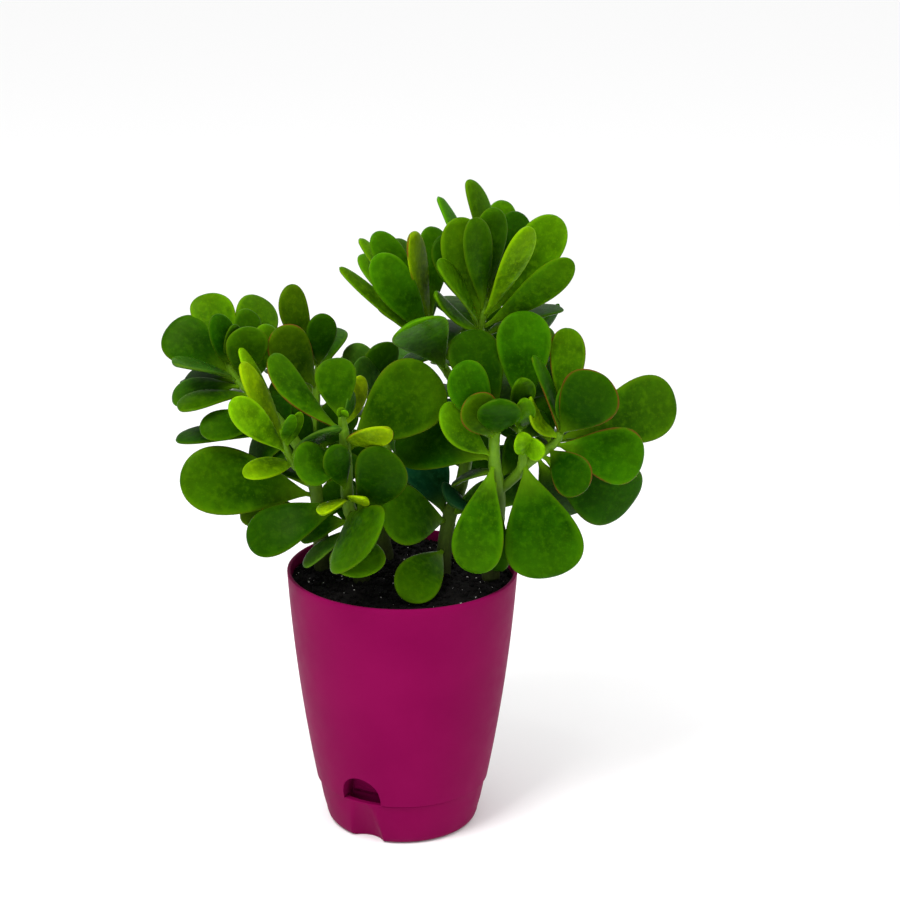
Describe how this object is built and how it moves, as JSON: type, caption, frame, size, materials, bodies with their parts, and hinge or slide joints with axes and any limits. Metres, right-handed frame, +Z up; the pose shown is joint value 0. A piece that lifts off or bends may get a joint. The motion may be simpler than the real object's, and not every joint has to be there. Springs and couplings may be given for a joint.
{
  "type": "potted jade plant",
  "caption": "Jade plant with thick glossy paddle leaves on branching stems, standing in soil in a tapered round plastic pot with its own water tray.",
  "frame": {"origin": "middle of the water tray's flat underside, on the surface the pot stands on", "axes": "+Z up along the pot's axis; -Y is the front, the side the picture looks at; +X to the right as seen from the front"},
  "size_m": [0.2507, 0.1597, 0.3276],
  "materials": {
    "pot_plastic": "satin magenta moulded plastic",
    "tray_plastic": "satin magenta moulded plastic",
    "soil": "dark crumbly potting mix of peat and bark with perlite",
    "jade_leaf": "glossy waxy succulent leaf",
    "jade_stem": "fleshy green to grey-brown stem"
  },
  "bodies": {
    "root": {"reservoir_base": "tray_plastic", "pot_body": "pot_plastic", "soil": "soil", "stem_tall": "jade_leaf", "stem_right": "jade_leaf", "stem_left": "jade_leaf", "stem_front": "jade_leaf", "stem_back": "jade_leaf"}
  },
  "joints": []
}
